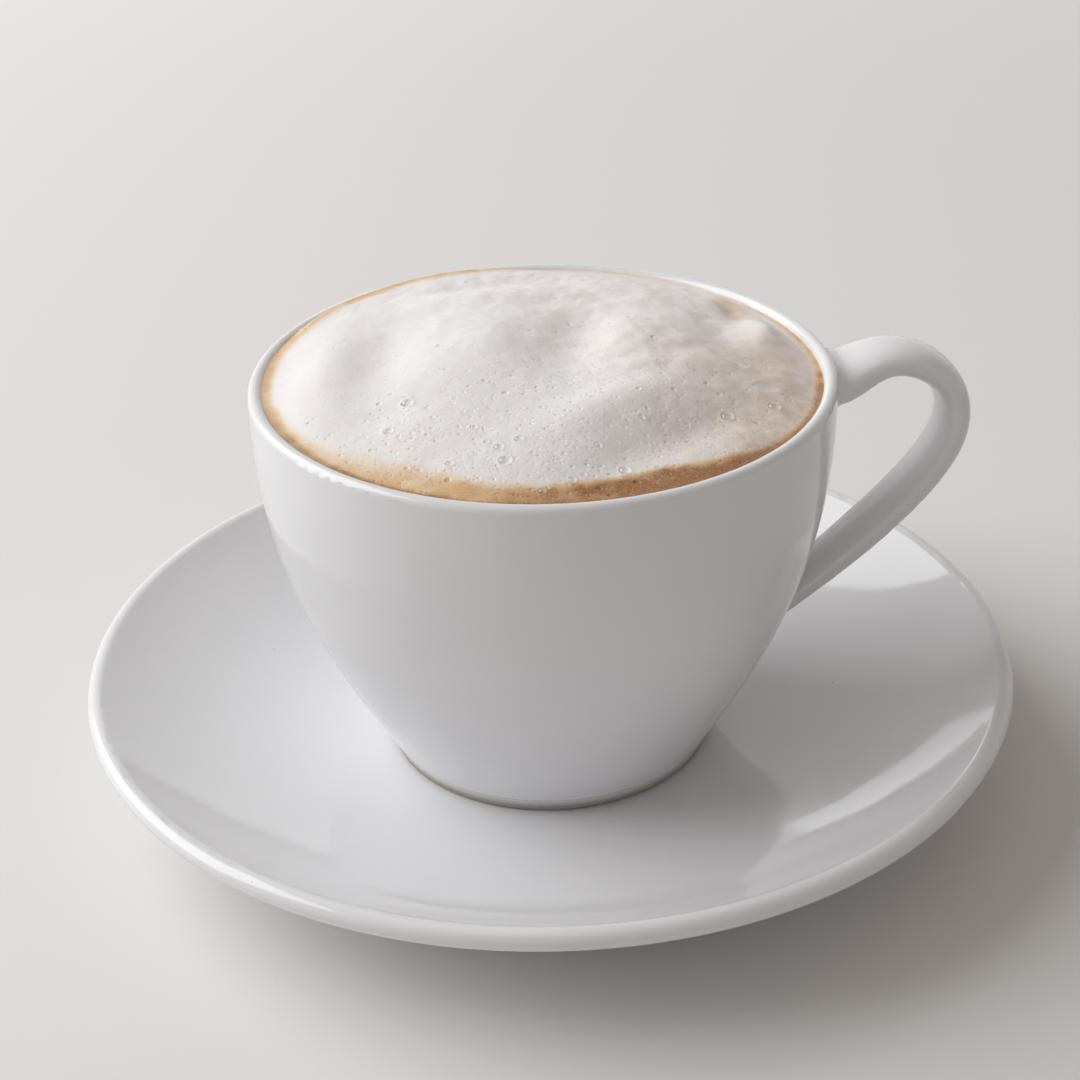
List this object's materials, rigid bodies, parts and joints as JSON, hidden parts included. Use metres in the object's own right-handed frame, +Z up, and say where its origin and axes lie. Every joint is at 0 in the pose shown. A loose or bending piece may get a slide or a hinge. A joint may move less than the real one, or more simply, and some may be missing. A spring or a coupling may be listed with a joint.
{
  "type": "cup of cappuccino on a saucer",
  "caption": "Round porcelain cup with a strap handle, filled with coffee under a domed cap of milk foam, standing on its saucer.",
  "frame": {"origin": "middle of the saucer's underside, on the surface that the saucer stands on", "axes": "+Z up along the axis of the cup and saucer, +X towards the cup's handle"},
  "size_m": [0.155, 0.155, 0.0759],
  "materials": {
    "saucer_porcelain": "clear glossy glaze over white porcelain",
    "cup_porcelain": "clear glossy glaze over white porcelain",
    "coffee": "fine brown coffee foam with small pores",
    "milk_foam": "soft white milk foam with fine bubbles"
  },
  "bodies": {
    "root": {"saucer": "saucer_porcelain", "cup": "cup_porcelain", "coffee": "coffee", "milk_foam": "milk_foam"}
  },
  "joints": []
}
